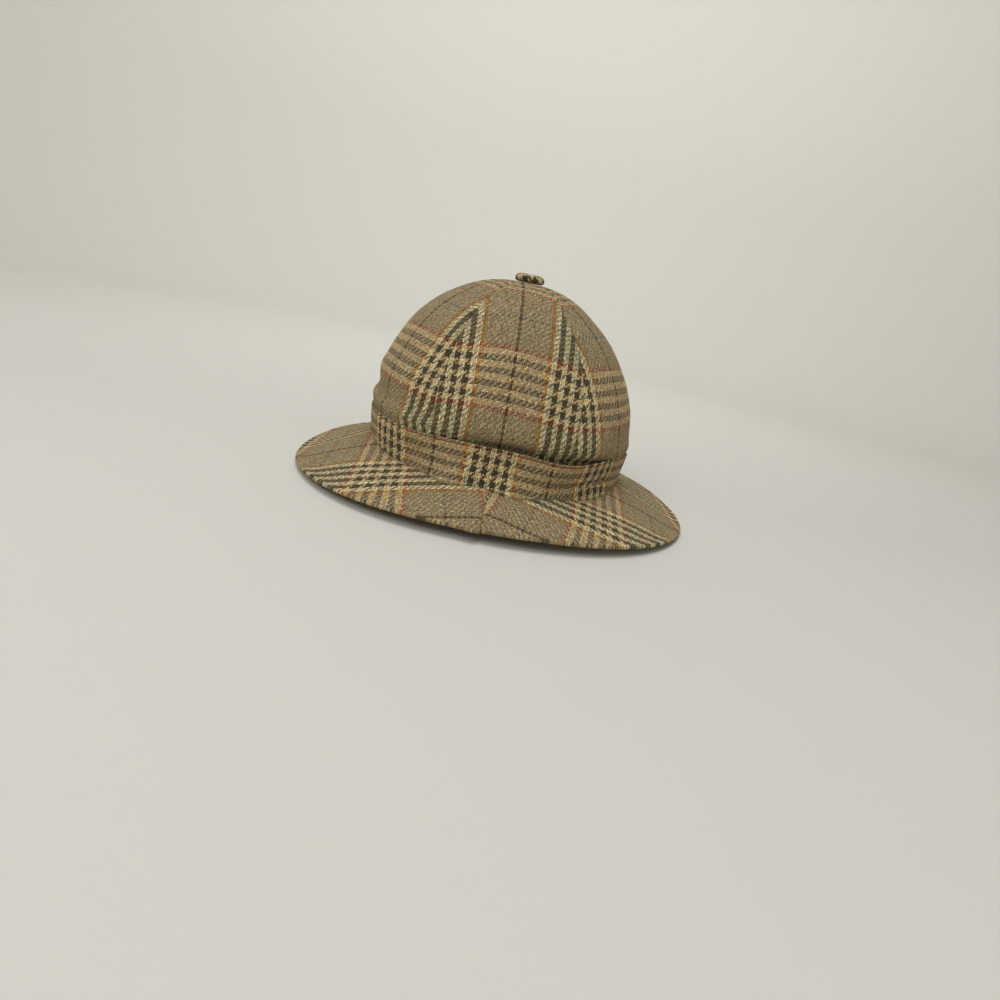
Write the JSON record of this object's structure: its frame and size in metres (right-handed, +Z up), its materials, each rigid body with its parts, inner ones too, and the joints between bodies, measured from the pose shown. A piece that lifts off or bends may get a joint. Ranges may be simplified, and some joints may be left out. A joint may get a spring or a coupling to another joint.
{
  "type": "deerstalker hat",
  "caption": "Checked tweed deerstalker hat: a domed crown of sewn panels, a cloth band, a sloping brim with front and back peaks, and a covered button on top.",
  "frame": {"origin": "bottom centre of the hat's bounding box, on the surface that the rim rests on", "axes": "+Z up through the crown; +Y to the back of the head; +X to the wearer's left"},
  "size_m": [0.278, 0.3226, 0.1681],
  "materials": {
    "crown_tweed": "matte woven wool, checked",
    "band_tweed": "matte woven wool, checked",
    "brim_tweed": "matte woven wool, checked",
    "button_tweed": "matte woven wool, checked"
  },
  "bodies": {
    "root": {"crown_panel_left": "crown_tweed", "crown_panel_right": "crown_tweed", "crown_panel_front_left": "crown_tweed", "crown_panel_front_right": "crown_tweed", "crown_panel_back_left": "crown_tweed", "crown_panel_back_right": "crown_tweed", "hat_band": "band_tweed", "brim_front": "brim_tweed", "brim_back": "brim_tweed", "top_button": "button_tweed"}
  },
  "joints": []
}
